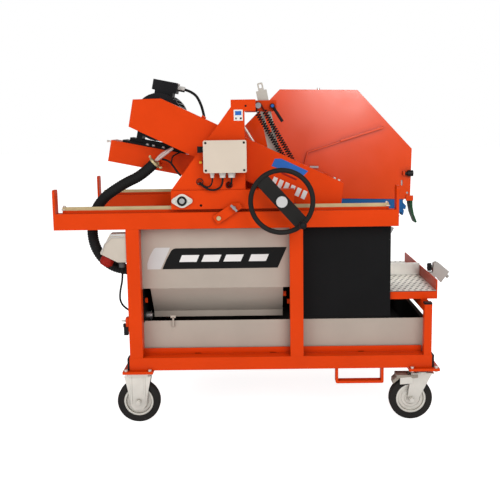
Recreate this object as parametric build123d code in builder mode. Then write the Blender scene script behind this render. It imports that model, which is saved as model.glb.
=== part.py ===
import os
from math import atan2, cos, degrees, hypot, radians, sin, tan

from build123d import *

os.makedirs("parts", exist_ok=True)

# ---- where the machine stands: its middle is the origin, the floor is Z = 0 -------------------
X_MID, Y_MID = 935.25, 472.5

# ---- stand: upper rails, posts, lower rails ----------------------------------------------------
RAIL_X0, RAIL_X1 = 15.0, 1547.0
TRACK_W = 1100.0                 # outer face to outer face of the two rails
TUBE = 60.0                      # square section of the stand
RAIL_Z0, RAIL_Z1 = 914.0, 988.0
STOP_T, STOP_TOP = 11.0, 1096.0
BAR_X0, BAR_X1 = 40.0, 1518.0
BAR_T, BAR_Z0, BAR_Z1 = 10.0, 1000.0, 1016.0
BAR_Y = 39.0                     # middle of the near running bar
LOW_X0, LOW_X1, LOW_Z0 = 324.0, 1718.0, 256.0
LOW_Z1 = LOW_Z0 + TUBE
POST_L, POST_M = 327.5, 1068.0
STUB = 35.0                      # square section of the right-hand stub posts
STUB_X0, STUB_TOP = 1680.0, 552.0

# ---- tank, hopper and table --------------------------------------------------------------------
SHEET = 3.0
BASIN_X0, BASIN_X1, BASIN_TOP = 386.0, 1700.0, 475.0
BASIN_Y0 = 70.0
CURTAIN_X0, CURTAIN_X1, CURTAIN_Y, CURTAIN_TOP = 1129.0, 1535.0, 73.0, 950.0
HOP_X0, HOP_X1, HOP_TOP, HOP_KNEE, HOP_LOW, HOP_END = 388.0, 1072.0, 905.0, 629.0, 497.0, 468.0
THROAT_X0, THROAT_X1 = 423.0, 1038.0
HOP_Y0, HOP_IN = 68.0, 182.0
TABLE_X0, TABLE_X1, TABLE_Y0, TABLE_Y1, TABLE_Z = 1094.0, 1750.0, 84.0, 920.0, 600.0
SKIRT_H = 35.0
BLADE_SLOT = 9.0                 # half the width of the slot the blade dips into

# ---- carriage ----------------------------------------------------------------------------------
BEAM_X0, BEAM_X1, BEAM_Z0, BEAM_Z1 = 537.0, 1090.0, 1001.0, 1086.0
BEAM_Y0, BEAM_Y1, BEAM_T = 6.0, 72.0, 6.0
AXLE_Z, AXLE_L_X, AXLE_R_X, AXLE_R = 1040.0, 587.0, 1031.0, 10.0
TREAD_R, FLANGE_R = AXLE_Z - BAR_Z1, 32.0
TOWER_X0, TOWER_X1, TOWER_TOP = 812.0, 872.0, 1484.0
PIVOT_X, PIVOT_Z, PIVOT_R = 760.0, 1130.0, 17.5
LOCK_X, LOCK_Z, LOCK_X2, LOCK_Z2 = 751.0, 962.0, 820.0, 1008.0

# ---- head --------------------------------------------------------------------------------------
TAIL_X, TAIL_Z, TILT = 235.0, 1264.0, 11.5
ARM_LEN, ARM_H, ARM_Y0, ARM_Y1 = 1010.0, 100.0, 200.0, 360.0
BLADE_X, BLADE_Z, BLADE_Y, BLADE_R, BLADE_T = 1229.0, 1045.0, 550.0, 450.0, 4.0
SPINDLE_R, HOUSING_R = 20.0, 55.0
GUARD_Y0, GUARD_Y1, GUARD_BOTTOM, GUARD_TOP = 450.0, 650.0, 1004.0, 1540.0
GUARD_HALF_TOP, GUARD_HALF, GUARD_SHOULDER = 191.0, 463.0, 1255.0
GUARD_TURN, GUARD_SHIFT = 1.3, -8.0   # the guard leans a little with the arm
COVER_Y0, COVER_Y1 = 84.0, 150.0
MOTOR_S, MOTOR_H, MOTOR_R = 201.0, 195.0, 102.0
MOTOR_PULLEY_R, SPINDLE_PULLEY_R = 54.0, 68.0

# ---- casters -----------------------------------------------------------------------------------
CASTER_R, CASTER_W, CASTER_Y = 100.0, 44.0, 47.0
CASTER_L_X, CASTER_R_X, SWIVEL_X = 356.5, 1628.5, 1681.0

GAP = 0.05                       # radial running clearance


def at(x, y, z):
    """A place given from the near left end of the rail, in the machine's own frame."""
    return (x - X_MID, y - Y_MID, z)


def far(y):
    """The same distance in from the far side."""
    return TRACK_W - y


def slab(x0, x1, y0, y1, z0, z1, mode=Mode.ADD):
    with Locations(at((x0 + x1) / 2, (y0 + y1) / 2, (z0 + z1) / 2)):
        Box(abs(x1 - x0), abs(y1 - y0), abs(z1 - z0), mode=mode)


def rod(x, y, z, r, length, way=(0, 1, 0), mode=Mode.ADD):
    """A round bar that starts at a place and runs along a direction."""
    with BuildSketch(Plane(origin=at(x, y, z), z_dir=way)) as disc:
        Circle(r)
    extrude(disc.sketch, amount=length, mode=mode)


def tube(x0, x1, y0, y1, z0, z1, along, wall=4.0):
    """A square hollow section: solid outside, open at both ends."""
    slab(x0, x1, y0, y1, z0, z1)
    inset = [wall] * 3
    inset["XYZ".index(along)] = -1.0
    slab(x0 + inset[0], x1 - inset[0], y0 + inset[1], y1 - inset[1],
         z0 + inset[2], z1 - inset[2], mode=Mode.SUBTRACT)


def side(y):
    """An upright plane at a depth: sketch X is the machine's X, sketch Y is height."""
    return Plane(origin=at(0, y, 0), x_dir=(1, 0, 0), z_dir=(0, -1, 0))


def plate(points, y0, y1, mode=Mode.ADD):
    """A flat plate with the given outline, from one depth to another."""
    with BuildSketch(side(y0)) as outline:
        with BuildLine():
            Polyline(*points, close=True)
        make_face()
    extrude(outline.sketch, amount=-(y1 - y0), mode=mode)


def arm_plane(y):
    """The arm's own upright plane: sketch X runs down the arm from its tail."""
    t = radians(TILT)
    return Plane(origin=at(TAIL_X, y, TAIL_Z), x_dir=(cos(t), 0, -sin(t)), z_dir=(0, -1, 0))


def on_arm(s, h):
    """Machine X and Z of a place given along and square to the arm."""
    t = radians(TILT)
    return TAIL_X + s * cos(t) + h * sin(t), TAIL_Z - s * sin(t) + h * cos(t)


def unit(a, b):
    d = [q - p for p, q in zip(a, b)]
    n = hypot(*d)
    return [v / n for v in d], n


def bend_radii(route):
    """0.45 of the shorter run at each corner, turned into the radius of the arc there."""
    radii = []
    for a, b, c in zip(route, route[1:], route[2:]):
        (u, m), (v, n) = unit(a, b), unit(b, c)
        turn = atan2(hypot(u[1] * v[2] - u[2] * v[1], u[2] * v[0] - u[0] * v[2],
                           u[0] * v[1] - u[1] * v[0]), sum(p * q for p, q in zip(u, v)))
        radii.append(0.45 * min(m, n) / tan(turn / 2))
    return radii


def cord(route, r, name):
    """A round cord along straight runs joined by tangent arcs."""
    radii = bend_radii(route)
    print(name, "length", round(sum(unit(a, b)[1] for a, b in zip(route, route[1:]))),
          "radii", [round(q) for q in radii], "diameter", 2 * r)
    with BuildLine() as run:
        way = FilletPolyline(*[at(*p) for p in route], radius=radii)
    with BuildSketch(Plane(origin=way @ 0, z_dir=way % 0)) as disc:
        Circle(r)
    sweep(disc.sketch, path=run.line)
    return way.length


def hand_in(piece, name):
    piece.part.label = name
    export_step(piece.part, f"parts/{name}.step")


# ================================================================ stand
def upper_rail(y0):
    """80 x 60 tube with the painted upstand that carries the running bar."""
    tube(RAIL_X0, RAIL_X1, y0, y0 + TUBE, RAIL_Z0, RAIL_Z1, "X")
    for x in (RAIL_X0 - STOP_T, RAIL_X1):
        slab(x, x + STOP_T, y0, y0 + TUBE, RAIL_Z0, STOP_TOP)


with BuildPart() as upper_rail_near:
    upper_rail(0)
    slab(BAR_X0, BAR_X1, BAR_Y - BAR_T / 2, BAR_Y + BAR_T / 2, RAIL_Z1, BAR_Z0)
    slab(CURTAIN_X0, CURTAIN_X1, TUBE, CURTAIN_Y, CURTAIN_TOP - 24, CURTAIN_TOP)
    fillet(upper_rail_near.edges().filter_by(Axis.X).group_by(Axis.Z)[-1], 14)
hand_in(upper_rail_near, "upper_rail_near")

with BuildPart() as upper_rail_far:
    upper_rail(far(TUBE))
    slab(BAR_X0, BAR_X1, far(BAR_Y + BAR_T / 2), far(BAR_Y - BAR_T / 2), RAIL_Z1, BAR_Z0)
    fillet(upper_rail_far.edges().filter_by(Axis.X).group_by(Axis.Z)[-1], 14)
hand_in(upper_rail_far, "upper_rail_far")

with BuildPart() as track_bars:
    for y in (BAR_Y, far(BAR_Y)):
        slab(BAR_X0, BAR_X1, y - BAR_T / 2, y + BAR_T / 2, BAR_Z0, BAR_Z1)
    rod(LOCK_X, -17.2, LOCK_Z, 6, 17.2)
    rod(LOCK_X, -24, LOCK_Z, 10, 6.8)
    rod(LOCK_X, -10.8, LOCK_Z, 12, 10.8)
hand_in(track_bars, "track_bars")

with BuildPart() as posts:
    for y in (0, far(TUBE)):
        for x in (POST_L, POST_M):
            tube(x, x + TUBE, y, y + TUBE, LOW_Z1, RAIL_Z0, "Z")
        inner = y if y == 0 else far(STUB)
        tube(STUB_X0, STUB_X0 + STUB, inner, inner + STUB, LOW_Z1, STUB_TOP, "Z", 3.0)
    slab(345, 385, TUBE, 74.5, 636, 668)
    slab(356, 370, TUBE, 65.4, 500, 516)
hand_in(posts, "posts")

with BuildPart() as lower_rails:
    for y in (0, far(TUBE)):
        tube(LOW_X0, LOW_X1, y, y + TUBE, LOW_Z0, LOW_Z1, "X")
        lip = TUBE if y == 0 else far(TUBE + 5)
        foot = TUBE - 15 if y == 0 else far(TUBE + 5)
        for x0, x1 in ((POST_L + TUBE, POST_M), (POST_M + TUBE, STUB_X0)):
            slab(x0, x1, lip, lip + 5, LOW_Z1, LOW_Z1 + 30)
            slab(x0, x1, foot, foot + 20, LOW_Z1, LOW_Z1 + 3)
hand_in(lower_rails, "lower_rails")

with BuildPart() as tube_caps:
    for y in (0, far(TUBE)):
        for x, way in ((LOW_X0, -1), (LOW_X1, 1)):
            slab(x, x + 10 * way, y + 2, y + TUBE - 2, LOW_Z0 + 2, LOW_Z1 - 2)
        inner = y if y == 0 else far(STUB)
        slab(STUB_X0, STUB_X0 + STUB, inner, inner + STUB, STUB_TOP, STUB_TOP + 9)
hand_in(tube_caps, "tube_caps")

with BuildPart() as cross_tubes:
    for x in (POST_L, POST_M, LOW_X1 - TUBE):
        tube(x, x + TUBE, TUBE, far(TUBE), LOW_Z0, LOW_Z1, "Y")
    tube(POST_L, POST_L + 50, TUBE, far(TUBE), RAIL_Z0 - TUBE, RAIL_Z0, "Y")
    tube(STUB_X0, STUB_X0 + STUB, STUB, far(STUB), STUB_TOP - STUB, STUB_TOP, "Y", 3.0)
    tube(POST_M + TUBE - STUB, POST_M + TUBE, TUBE, far(TUBE), STUB_TOP - STUB, STUB_TOP, "Y", 3.0)
hand_in(cross_tubes, "cross_tubes")

with BuildPart() as forklift_loop:
    slab(1276, 1498, 8, 50, 182, 194)
    for x in (1276, 1486):
        slab(x, x + 12, 8, 50, 194, LOW_Z0)
    fillet(forklift_loop.edges().filter_by(Axis.Y).group_by(Axis.Z)[0], 8)
hand_in(forklift_loop, "forklift_loop")

# ================================================================ tank and hopper
with BuildPart() as basin:
    slab(BASIN_X0, BASIN_X1, BASIN_Y0, far(BASIN_Y0), LOW_Z1, BASIN_TOP)
    slab(BASIN_X0 + SHEET, BASIN_X1 - SHEET, BASIN_Y0 + SHEET, far(BASIN_Y0 + SHEET),
         LOW_Z1 + SHEET, BASIN_TOP + 1, mode=Mode.SUBTRACT)
    for x in (BASIN_X0, BASIN_X1 - 20):
        slab(x, x + 20, BASIN_Y0, far(BASIN_Y0), BASIN_TOP - SHEET, BASIN_TOP)
hand_in(basin, "basin")


def throat_ring(inset, y, z):
    """A level ring of the hopper's throat, drawn in from its outside by an inset."""
    with BuildSketch(Plane(origin=at((THROAT_X0 + THROAT_X1) / 2, TRACK_W / 2, z))) as ring:
        Rectangle(THROAT_X1 - THROAT_X0 - 2 * inset, TRACK_W - 2 * y - 2 * inset)
    return ring.sketch


HOP_RIM = 585.0                  # top of the right-hand wall, below the blade's lowest point

with BuildPart() as hopper:
    slab(HOP_X0, HOP_X1, HOP_Y0, far(HOP_Y0), HOP_KNEE, HOP_TOP)
    loft([throat_ring(0, HOP_Y0, HOP_KNEE), throat_ring(0, HOP_IN, HOP_LOW)])
    slab(THROAT_X0, THROAT_X1, HOP_IN, far(HOP_IN), HOP_END, HOP_LOW)
    slab(HOP_X0 + SHEET, HOP_X1 - SHEET, HOP_Y0 + SHEET, far(HOP_Y0 + SHEET), HOP_KNEE + SHEET,
         HOP_TOP + 1, mode=Mode.SUBTRACT)
    slab(THROAT_X0 + SHEET, THROAT_X1 - SHEET, HOP_Y0 + SHEET, far(HOP_Y0 + SHEET), HOP_KNEE,
         HOP_KNEE + SHEET + 1, mode=Mode.SUBTRACT)
    loft([throat_ring(SHEET, HOP_Y0, HOP_KNEE), throat_ring(SHEET, HOP_IN, HOP_LOW)],
         mode=Mode.SUBTRACT)
    slab(THROAT_X0 + SHEET, THROAT_X1 - SHEET, HOP_IN + SHEET, far(HOP_IN + SHEET), HOP_END - 1,
         HOP_LOW, mode=Mode.SUBTRACT)
    slab(THROAT_X1 - SHEET - 1, HOP_X1 + 1, BLADE_Y - 60, BLADE_Y + 60, HOP_RIM, HOP_TOP + 1,
         mode=Mode.SUBTRACT)
hand_in(hopper, "hopper")

with BuildPart() as curtain:
    slab(CURTAIN_X0, CURTAIN_X1, CURTAIN_Y, CURTAIN_Y + 4, BASIN_TOP + 7, CURTAIN_TOP)
hand_in(curtain, "curtain")

# ================================================================ table
TOP_T = 4.0
HOLE_R, HOLE_PITCH = 6.0, 24.0

with BuildPart() as table_top:
    for y0, y1 in ((TABLE_Y0, BLADE_Y - BLADE_SLOT), (BLADE_Y + BLADE_SLOT, TABLE_Y1)):
        slab(TABLE_X0, TABLE_X1, y0, y1, TABLE_Z - TOP_T, TABLE_Z)
    with BuildSketch(Plane(origin=at(1640, 280, TABLE_Z))):
        with GridLocations(HOLE_PITCH, HOLE_PITCH, 8, 15):
            Circle(HOLE_R)
    extrude(amount=-TOP_T, mode=Mode.SUBTRACT)
hand_in(table_top, "table_top")

END_T, END_TOP = 5.0, TABLE_Z + 50

with BuildPart() as table_frame:
    under = TABLE_Z - TOP_T
    foot = under - SKIRT_H
    slab(TABLE_X0, TABLE_X1, TABLE_Y0, TABLE_Y0 + 5, foot, under)
    slab(TABLE_X0, TABLE_X1, TABLE_Y1 - 5, TABLE_Y1, foot, under)
    slab(TABLE_X0, TABLE_X0 + 5, TABLE_Y0 + 5, BLADE_Y - BLADE_SLOT - 3, foot, under)
    slab(TABLE_X0, TABLE_X0 + 5, BLADE_Y + BLADE_SLOT + 3, TABLE_Y1 - 5, foot, under)
    slab(TABLE_X1, TABLE_X1 + END_T, TABLE_Y0, TABLE_Y1, foot, END_TOP)
    slab(TABLE_X1 - 1, TABLE_X1 + END_T + 1, BLADE_Y - BLADE_SLOT - 3, BLADE_Y + BLADE_SLOT + 3,
         under, END_TOP + 1, mode=Mode.SUBTRACT)
    for x in (TABLE_X0 + 5, STUB_X0):
        for y in (TABLE_Y0 + 5, TABLE_Y1 - 45):
            slab(x, x + 30, y, y + 40, STUB_TOP, under)
hand_in(table_frame, "table_frame")

FENCE_X0, FENCE_Y, FENCE_H, FENCE_LIFT = 1180.0, 488.0, 58.0, 3.0

with BuildPart() as table_fence:
    low = TABLE_Z + FENCE_LIFT
    slab(FENCE_X0, TABLE_X1, FENCE_Y, FENCE_Y + 4, low, low + FENCE_H)
    slab(FENCE_X0, TABLE_X1, FENCE_Y + 4, FENCE_Y + 20, low + FENCE_H - 4, low + FENCE_H)
hand_in(table_fence, "table_fence")

STOP_Y, STOP_HALF = 335.0, 17.0

with BuildPart() as angle_stop:
    face = TABLE_X1 + END_T
    slab(face, face + 6, STOP_Y - 35, STOP_Y + 35, TABLE_Z - 4, TABLE_Z + 44)
    slab(face + 6, face + 40, STOP_Y - STOP_HALF, STOP_Y + STOP_HALF, TABLE_Z + 12, TABLE_Z + 42)
    plate([(face + 28, 640), (face + 31, 688), (face + 45, 694), (face + 58, 688), (face + 108, 645),
           (face + 68, 591)], STOP_Y - STOP_HALF, STOP_Y + STOP_HALF)
    rod(face + 92, STOP_Y, 630, 8, 20, (0.68, 0, -0.73))
    rod(face + 4, STOP_Y, 667, 5, 30, (1, 0, 0))
    with BuildSketch(Plane(origin=at(face + 4, STOP_Y, 667), z_dir=(1, 0, 0))):
        Circle(14)
        with PolarLocations(14, 6):
            Circle(6)
    extrude(amount=18)
hand_in(angle_stop, "angle_stop")

# ================================================================ mains inlet
GLAND_X, GLAND_Y = 303.0, 30.0

with BuildPart() as inlet_housing:
    slab(320, POST_L, 6, 54, 764, 890)
    plate([(326, 762), (326, 895), (256, 894), (206, 805), (286, 764)], 6, 76)
    fillet(inlet_housing.edges().filter_by(Axis.Y).group_by(Axis.X)[0], 8)
    rod(GLAND_X, GLAND_Y, 766, 15, 28, (0, 0, -1))
hand_in(inlet_housing, "inlet_housing")

with BuildPart() as inlet_collar:
    t = atan2(805 - 764, 286 - 206)
    way = (-sin(t), 0, -cos(t))
    rod(242, 41, 786.5, 30, 34, way)
    rod(242 + 34 * way[0], 41, 786.5 + 34 * way[2], 25, 10, way)
hand_in(inlet_collar, "inlet_collar")

LEAD = [(GLAND_X, GLAND_Y, 737.5), (GLAND_X, GLAND_Y, 684), (287, 38, 626), (282, 50, 574), (306, 68, 534),
        (350, 70, 510)]
with BuildPart() as mains_lead:
    cord(LEAD, 4.5, "mains_lead")
hand_in(mains_lead, "mains_lead")

# ================================================================ casters
PLATE_T = 12.0
PLATE_Z0 = LOW_Z0 - PLATE_T
CASTER_SPOTS = [(CASTER_L_X, CASTER_Y), (CASTER_L_X, far(CASTER_Y)),
                (SWIVEL_X, CASTER_Y), (SWIVEL_X, far(CASTER_Y))]
WHEEL_SPOTS = CASTER_SPOTS[:2] + [(CASTER_R_X, CASTER_Y), (CASTER_R_X, far(CASTER_Y))]

PLATE_HALF, PLATE_Y0, PLATE_Y1 = 70.0, -22.0, 118.0
BOLT_X, BOLT_Y0, BOLT_Y1 = 55.0, -10.0, 104.0

with BuildPart() as caster_plates:
    for x in (CASTER_L_X + 6.5, SWIVEL_X):
        for y0, y1 in ((PLATE_Y0, PLATE_Y1), (far(PLATE_Y1), far(PLATE_Y0))):
            slab(x - PLATE_HALF, x + PLATE_HALF, y0, y1, PLATE_Z0, LOW_Z0)
        for y in (BOLT_Y0, BOLT_Y1, far(BOLT_Y1), far(BOLT_Y0)):
            for u in (-BOLT_X, BOLT_X):
                rod(x + u, y, LOW_Z0, 8, 8, (0, 0, 1))
                rod(x + u, y, PLATE_Z0 - 5, 7, 5, (0, 0, 1))
hand_in(caster_plates, "caster_plates")

HEAD_Z = PLATE_Z0 - 26.0


def fork(x, axle_x, y, cheek):
    """Bent sheet fork: a crown, two cheeks of the given outline and the axle bolt's two heads."""
    half = CASTER_W / 2 + 5
    slab(x - 52, x + 52, y - half - 4, y + half + 4, HEAD_Z, HEAD_Z + 6)
    for y0 in (y - half - 4, y + half):
        plate(cheek, y0, y0 + 4)
    rod(axle_x, y - half - 12, CASTER_R, 9.95, 2 * half + 24)


RACE_R = 36.0

with BuildPart() as fixed_forks:
    for x, y in CASTER_SPOTS[:2]:
        fork(x, x, y, [(x - 62, HEAD_Z + 6), (x + 62, HEAD_Z + 6), (x + 46, 146), (x + 36, 84),
                       (x + 20, 62), (x - 20, 62), (x - 36, 84), (x - 46, 146)])
        slab(x - 50, x + 50, y - 40, y + 40, HEAD_Z + 6, PLATE_Z0)
        for rib in (x - 34, x + 28):
            slab(rib, rib + 6, y - 34, y - 31, 90, HEAD_Z + 4)
    for x, y in CASTER_SPOTS[2:]:
        rod(x, y, HEAD_Z + 12, RACE_R, PLATE_Z0 - HEAD_Z - 12, (0, 0, 1))
hand_in(fixed_forks, "fixed_forks")

TRAIL = SWIVEL_X - CASTER_R_X


def swivel_fork(y, name):
    with BuildPart() as piece:
        fork(SWIVEL_X, SWIVEL_X - TRAIL, y,
             [(SWIVEL_X - 54, HEAD_Z + 6), (SWIVEL_X + 44, HEAD_Z + 6), (SWIVEL_X - 14, 112),
              (SWIVEL_X - 28, 90), (SWIVEL_X - 44, 80), (SWIVEL_X - 60, 80), (SWIVEL_X - 70, 94),
              (SWIVEL_X - 66, 140)])
        rod(SWIVEL_X, y, HEAD_Z + 6, RACE_R - 4, 5.9, (0, 0, 1))
    hand_in(piece, name)


PEDAL_X0, PEDAL_HALF, PEDAL_T = SWIVEL_X - 122, 35.0, 3.5
PEDAL_PIN_X, PEDAL_PIN_Z = SWIVEL_X - 52.5, 211.0


def brake_pedal(y, name):
    with BuildPart() as piece:
        for y0 in (y - PEDAL_HALF, y + PEDAL_HALF - PEDAL_T):
            plate([(PEDAL_X0, 217), (SWIVEL_X - 24, 217), (SWIVEL_X - 24, 204), (SWIVEL_X - 48, 201),
                   (SWIVEL_X - 48, 176), (SWIVEL_X - 106, 172), (SWIVEL_X - 106, 203), (PEDAL_X0, 203)],
                  y0, y0 + PEDAL_T)
        slab(PEDAL_X0, SWIVEL_X - 70, y - PEDAL_HALF, y + PEDAL_HALF, 205, 217)
        plate([(PEDAL_X0, 206), (PEDAL_X0 + 14, 206), (PEDAL_X0 + 14, 198), (PEDAL_X0 - 3, 184),
               (PEDAL_X0 - 16, 174), (PEDAL_X0 - 15, 192)], y - PEDAL_HALF + 6, y + PEDAL_HALF - 6)
        for y0 in (y - PEDAL_HALF - 3, y + PEDAL_HALF):
            rod(PEDAL_PIN_X, y0, PEDAL_PIN_Z, 5, 3)
    hand_in(piece, name)


RIM_R = 69.0


def caster_tyre(x, y, name):
    with BuildPart() as piece:
        with BuildSketch(side(y)):
            with Locations((x, CASTER_R)):
                Circle(CASTER_R)
                Circle(RIM_R, mode=Mode.SUBTRACT)
        extrude(amount=CASTER_W / 2, both=True)
        fillet(piece.edges().filter_by(GeomType.CIRCLE).sort_by(SortBy.RADIUS)[-2:], 8)
    hand_in(piece, name)


def caster_rim(x, y, name):
    with BuildPart() as piece:
        with BuildSketch(side(y)):
            with Locations((x, CASTER_R)):
                Circle(RIM_R)
        extrude(amount=CASTER_W / 2 - 3, both=True)
        for sign in (-1, 1):
            rod(x, y + sign * 8, CASTER_R, RIM_R - 9, sign * 20, mode=Mode.SUBTRACT)
            rod(x, y + sign * 8, CASTER_R, 20, sign * (CASTER_W / 2 - 6))
        rod(x, y - CASTER_W, CASTER_R, 10, 2 * CASTER_W, mode=Mode.SUBTRACT)
    hand_in(piece, name)


for spot, (x, y) in zip(("left_near", "left_far", "right_near", "right_far"), WHEEL_SPOTS):
    caster_tyre(x, y, f"tyre_{spot}")
    caster_rim(x, y, f"rim_{spot}")
for spot, y in (("near", CASTER_Y), ("far", far(CASTER_Y))):
    swivel_fork(y, f"swivel_fork_{spot}")
    brake_pedal(y, f"brake_pedal_{spot}")

# ================================================================ carriage

with BuildPart() as carriage_beams:
    for y0, y1 in ((BEAM_Y0, BEAM_Y1), (far(BEAM_Y1), far(BEAM_Y0))):
        slab(BEAM_X0, BEAM_X1, y0, y1, BEAM_Z0, BEAM_Z1)
        slab(BEAM_X0 - 1, BEAM_X1 + 1, y0 + BEAM_T, y1 - BEAM_T, BEAM_Z0 - 1, BEAM_Z1 - BEAM_T,
             mode=Mode.SUBTRACT)
        for x in (AXLE_L_X, AXLE_R_X):
            rod(x, y0 - 1, AXLE_Z, AXLE_R + 2, y1 - y0 + 2, mode=Mode.SUBTRACT)
    rod(671, BEAM_Y0 - 1, 1018, 6, BEAM_T + 2, mode=Mode.SUBTRACT)
hand_in(carriage_beams, "carriage_beams")

CROSS_X0, CROSS_X1, CROSS_Z0 = 640.0, 740.0, 1006.0
GUIDE_X, GUIDE_Z = 963.0, 1456.0
SPRING_BOLT = (934.0, 1460.0)
CABLE_HOLES = [(668, 1124), (799, 1108)]
GROMMET_R = 13.0

with BuildPart() as carriage_frame:
    tube(CROSS_X0, CROSS_X1, BEAM_Y1, far(BEAM_Y1), CROSS_Z0, BEAM_Z1, "Y", 5.0)
    tube(TOWER_X0, TOWER_X1, 12, 72, BEAM_Z1, TOWER_TOP, "Z")
    slab(TOWER_X0, TOWER_X1, 12, 72, TOWER_TOP - 5, TOWER_TOP)
    plate([(BEAM_X0, BEAM_Z1), (TOWER_X0, BEAM_Z1), (TOWER_X0, 1452)], 12, 18)
    for x, z in CABLE_HOLES:
        rod(x, 5, z, GROMMET_R, 20, mode=Mode.SUBTRACT)
    tube(TOWER_X1, TOWER_X1 + 50, 12, 420, TOWER_TOP - 50, TOWER_TOP, "Y")
    slab(TOWER_X1, TOWER_X1 + 50, 12, 17, TOWER_TOP - 50, TOWER_TOP)
    slab(TOWER_X1 + 50, 1018, 180, 186, TOWER_TOP - 50, TOWER_TOP)
    rod(SPRING_BOLT[0], 154, SPRING_BOLT[1], 8, 26)
    rod(SPRING_BOLT[0], 146, SPRING_BOLT[1], 13, 8)
    plate([(CROSS_X0, BEAM_Z1), (PIVOT_X + 45, BEAM_Z1), (PIVOT_X + 45, PIVOT_Z + 10),
           (PIVOT_X + 20, PIVOT_Z + 42), (PIVOT_X - 20, PIVOT_Z + 42)], 396, 408)
    slab(CROSS_X1, PIVOT_X + 45, 396, 408, CROSS_Z0 + 30, BEAM_Z1)
    rod(PIVOT_X, 14, PIVOT_Z, PIVOT_R, 406)
    rod(GUIDE_X, 186, GUIDE_Z, 4, 12)
hand_in(carriage_frame, "carriage_frame")

with BuildPart() as axle_bearings:
    for y, way in ((BEAM_Y0, -1), (far(BEAM_Y0), 1)):
        with BuildSketch(side(y)):
            with Locations((AXLE_L_X, AXLE_Z)):
                Circle(31)
            with Locations((AXLE_L_X - 34, AXLE_Z), (AXLE_L_X + 34, AXLE_Z)):
                Circle(13)
            make_hull()
        extrude(amount=-10 * way)
        rod(AXLE_L_X, y, AXLE_Z, 22, 15, (0, way, 0))
        rod(AXLE_L_X, y - 16, AXLE_Z, AXLE_R + GAP, 40, mode=Mode.SUBTRACT)
    rod(AXLE_L_X, far(BEAM_Y0) - 24, AXLE_Z, AXLE_R + GAP, 48, mode=Mode.SUBTRACT)
hand_in(axle_bearings, "axle_bearings")


def roller(x, y):
    """A flanged track roller, its tread on the running bar."""
    rod(x, y - 7, AXLE_Z, TREAD_R, 14)
    for y0 in (y - 15, y + 7):
        rod(x, y0, AXLE_Z, FLANGE_R - 1, 8)


with BuildPart() as long_axle:
    rod(AXLE_L_X, -8, AXLE_Z, AXLE_R, TRACK_W + 16)
    roller(AXLE_L_X, BAR_Y)
    roller(AXLE_L_X, far(BAR_Y))
hand_in(long_axle, "long_axle")

with BuildPart() as wheel_axle:
    rod(AXLE_R_X, -97, AXLE_Z, AXLE_R, 173)
    roller(AXLE_R_X, BAR_Y)
    rod(AXLE_R_X, -118, AXLE_Z, 24.5, 21)
hand_in(wheel_axle, "wheel_axle")

with BuildPart() as far_roller:
    rod(AXLE_R_X, far(76), AXLE_Z, AXLE_R, 78)
    roller(AXLE_R_X, far(BAR_Y))
hand_in(far_roller, "far_roller")

HW_R, HW_RIM, HW_Y = 136.0, 11.0, -92.0
SPOKE_TILT = -48.0
KNOB_X = AXLE_R_X + (HW_R - 4) * cos(radians(SPOKE_TILT))
KNOB_Z = AXLE_Z + (HW_R - 4) * sin(radians(SPOKE_TILT))

with BuildPart() as handwheel:
    with BuildSketch(Plane(origin=at(AXLE_R_X, HW_Y, AXLE_Z), x_dir=(1, 0, 0), z_dir=(0, 0, 1))):
        with Locations((HW_R, 0)):
            Circle(HW_RIM)
    revolve(axis=Axis(at(AXLE_R_X, HW_Y, AXLE_Z), (0, 1, 0)))
    with BuildSketch(side(HW_Y - 5)):
        with Locations(Location((AXLE_R_X, AXLE_Z), SPOKE_TILT)):
            Rectangle(2 * HW_R - 4, 64)
    extrude(amount=-10)
    rod(AXLE_R_X, HW_Y + 5, AXLE_Z, 24, 45)
    rod(AXLE_R_X, HW_Y - 6, AXLE_Z, AXLE_R, 60, mode=Mode.SUBTRACT)
    rod(KNOB_X, HW_Y - HW_RIM - 50, KNOB_Z, 5, 56)
hand_in(handwheel, "handwheel")

with BuildPart() as wheel_knob:
    with BuildSketch(Plane(origin=at(KNOB_X, HW_Y - HW_RIM - 2, KNOB_Z), x_dir=(1, 0, 0),
                           z_dir=(0, 0, 1))):
        with BuildLine():
            Spline((8, 0), (10, -18), (17, -44), (13, -66), (0, -72))
            Line((0, -72), (0, 0))
            Line((0, 0), (8, 0))
        make_face()
    revolve(axis=Axis(at(KNOB_X, 0, KNOB_Z), (0, 1, 0)))
    rod(KNOB_X, HW_Y - HW_RIM - 51, KNOB_Z, 5 + GAP, 60, mode=Mode.SUBTRACT)
hand_in(wheel_knob, "wheel_knob")

# ---- transport lock

with BuildPart() as lock_link:
    run = hypot(LOCK_X2 - LOCK_X, LOCK_Z2 - LOCK_Z)
    with BuildSketch(side(-11)):
        with Locations(Location((LOCK_X, LOCK_Z), degrees(atan2(LOCK_Z2 - LOCK_Z, LOCK_X2 - LOCK_X)))):
            with Locations(((run + 12) / 2, 0)):
                RectangleRounded(run + 52, 42, 8)
        with Locations((LOCK_X, LOCK_Z)):
            Circle(6 + GAP, mode=Mode.SUBTRACT)
    extrude(amount=6)
    slab(LOCK_X2 - 40, LOCK_X2 + 60, -18, -10, AXLE_Z - AXLE_R - 2, AXLE_Z + 20, mode=Mode.SUBTRACT)
    rod(LOCK_X2, -30, LOCK_Z2, 8, 19.5)
    plate([(LOCK_X2 - 17, LOCK_Z2 + 10), (LOCK_X2 - 10, LOCK_Z2 + 17), (LOCK_X2 + 17, LOCK_Z2 - 10),
           (LOCK_X2 + 10, LOCK_Z2 - 17)], -38, -30)
hand_in(lock_link, "lock_link")

# ---- control box
BOX_X0, BOX_X1, BOX_Z0, BOX_Z1 = 690.0, 880.0, 1166.0, 1308.0
BOX_Y0, LID_T, BOX_BACK = -60.0, 18.0, 12.0
GLAND_ROW, LAMP_Z, SWITCH_Z = -16.0, 1212.0, 1268.0
GLANDS = [(726, 10), (772, 15), (812, 17)]

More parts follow.
